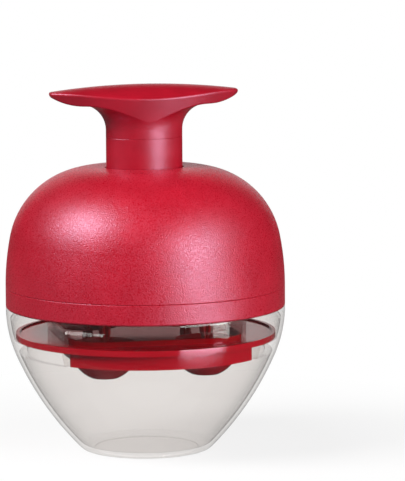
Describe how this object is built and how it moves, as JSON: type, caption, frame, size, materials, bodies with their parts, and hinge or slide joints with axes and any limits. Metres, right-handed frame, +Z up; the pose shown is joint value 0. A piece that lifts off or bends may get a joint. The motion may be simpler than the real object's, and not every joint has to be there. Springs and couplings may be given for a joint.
{
  "type": "cherry pitter",
  "caption": "Push-type cherry pitter: clear pit bowl, cup tray, domed lid with splash guard, and a spring-returned winged press handle on a plunger that drives the pitting needles.",
  "frame": {"origin": "centre of the bowl's foot, on the surface it stands on", "axes": "+Z up along the plunger, +X along the handle's wings, -Y to the front"},
  "size_m": [0.12, 0.12, 0.1575],
  "materials": {
    "clear_plastic": "clear, smooth",
    "smoky_plastic": "clear, slightly smoky",
    "red_matte": "matte, finely pebbled",
    "red_gloss": "smooth",
    "spring_steel": "drawn wire",
    "screw_steel": "plated"
  },
  "bodies": {
    "bowl": {"pit_bowl": "clear_plastic"},
    "tray": {"cherry_tray": "red_gloss"},
    "lid": {"lid_band": "red_matte", "dome_shell": "red_matte", "stripper_plate": "red_gloss", "splash_guard": "smoky_plastic", "dome_screws": "screw_steel", "return_spring": "spring_steel"},
    "plunger": {"plunger_stem": "red_matte", "needle_carrier": "red_gloss", "needle_clamp": "red_gloss", "press_handle": "red_matte", "needle_1": "red_gloss", "needle_2": "red_gloss", "needle_3": "red_gloss", "needle_4": "red_gloss", "handle_screws": "screw_steel", "clamp_screws": "screw_steel"}
  },
  "joints": [
    {"name": "tray_lift", "type": "slide", "parent": "bowl", "child": "tray", "axis": [0, 0, 1], "range_m": [0, 0.045]},
    {"name": "lid_lift", "type": "slide", "parent": "tray", "child": "lid", "axis": [0, 0, 1], "range_m": [0, 0.06]},
    {"name": "plunger_press", "type": "slide", "parent": "lid", "child": "plunger", "axis": [0, 0, -1], "range_m": [-0.018, 0.018], "stiffness_N_per_m": 790, "springref_m": -0.022, "deforming": ["return_spring"]}
  ]
}
